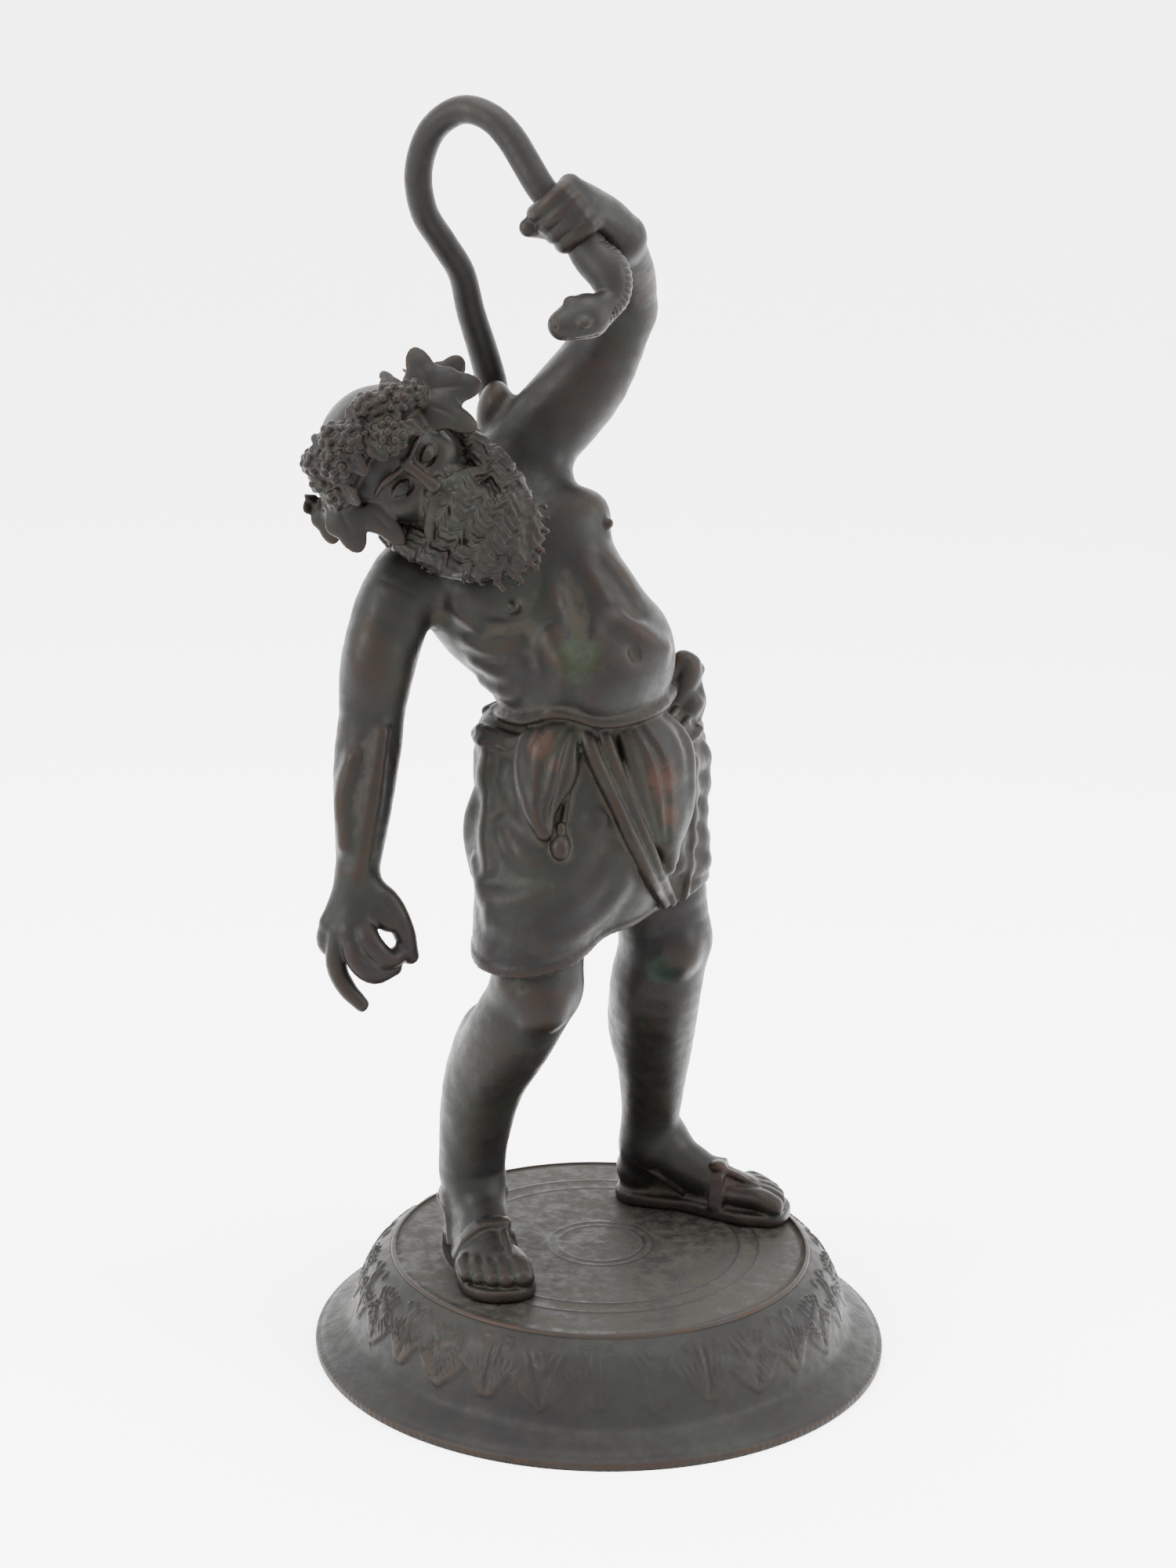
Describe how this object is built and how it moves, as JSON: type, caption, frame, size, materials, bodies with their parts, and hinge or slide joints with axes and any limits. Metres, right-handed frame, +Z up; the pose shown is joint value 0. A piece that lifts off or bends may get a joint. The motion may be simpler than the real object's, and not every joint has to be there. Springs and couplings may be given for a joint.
{
  "type": "bronze silenus figure",
  "caption": "Standing bearded silenus in a wreath and a knotted loincloth, cast in bronze on a round flared base; the raised fist grips a looped serpent that once carried a dish",
  "frame": {"origin": "centre of the plinth's underside, on the surface it stands on", "axes": "+Z up along the figure, -Y toward the viewer of the picture, +X to the viewer's right"},
  "size_m": [0.2722, 0.272, 0.5831],
  "materials": {
    "dark bronze": "dark brown-black patina, satin, rubbed to brown on the high places",
    "greenish bronze": "dark olive patina, satin",
    "plinth bronze": "dark olive-brown patina with pale dust, satin"
  },
  "bodies": {
    "root": {"plinth": "plinth bronze", "serpent": "greenish bronze", "silenus_figure": "dark bronze"}
  },
  "joints": []
}
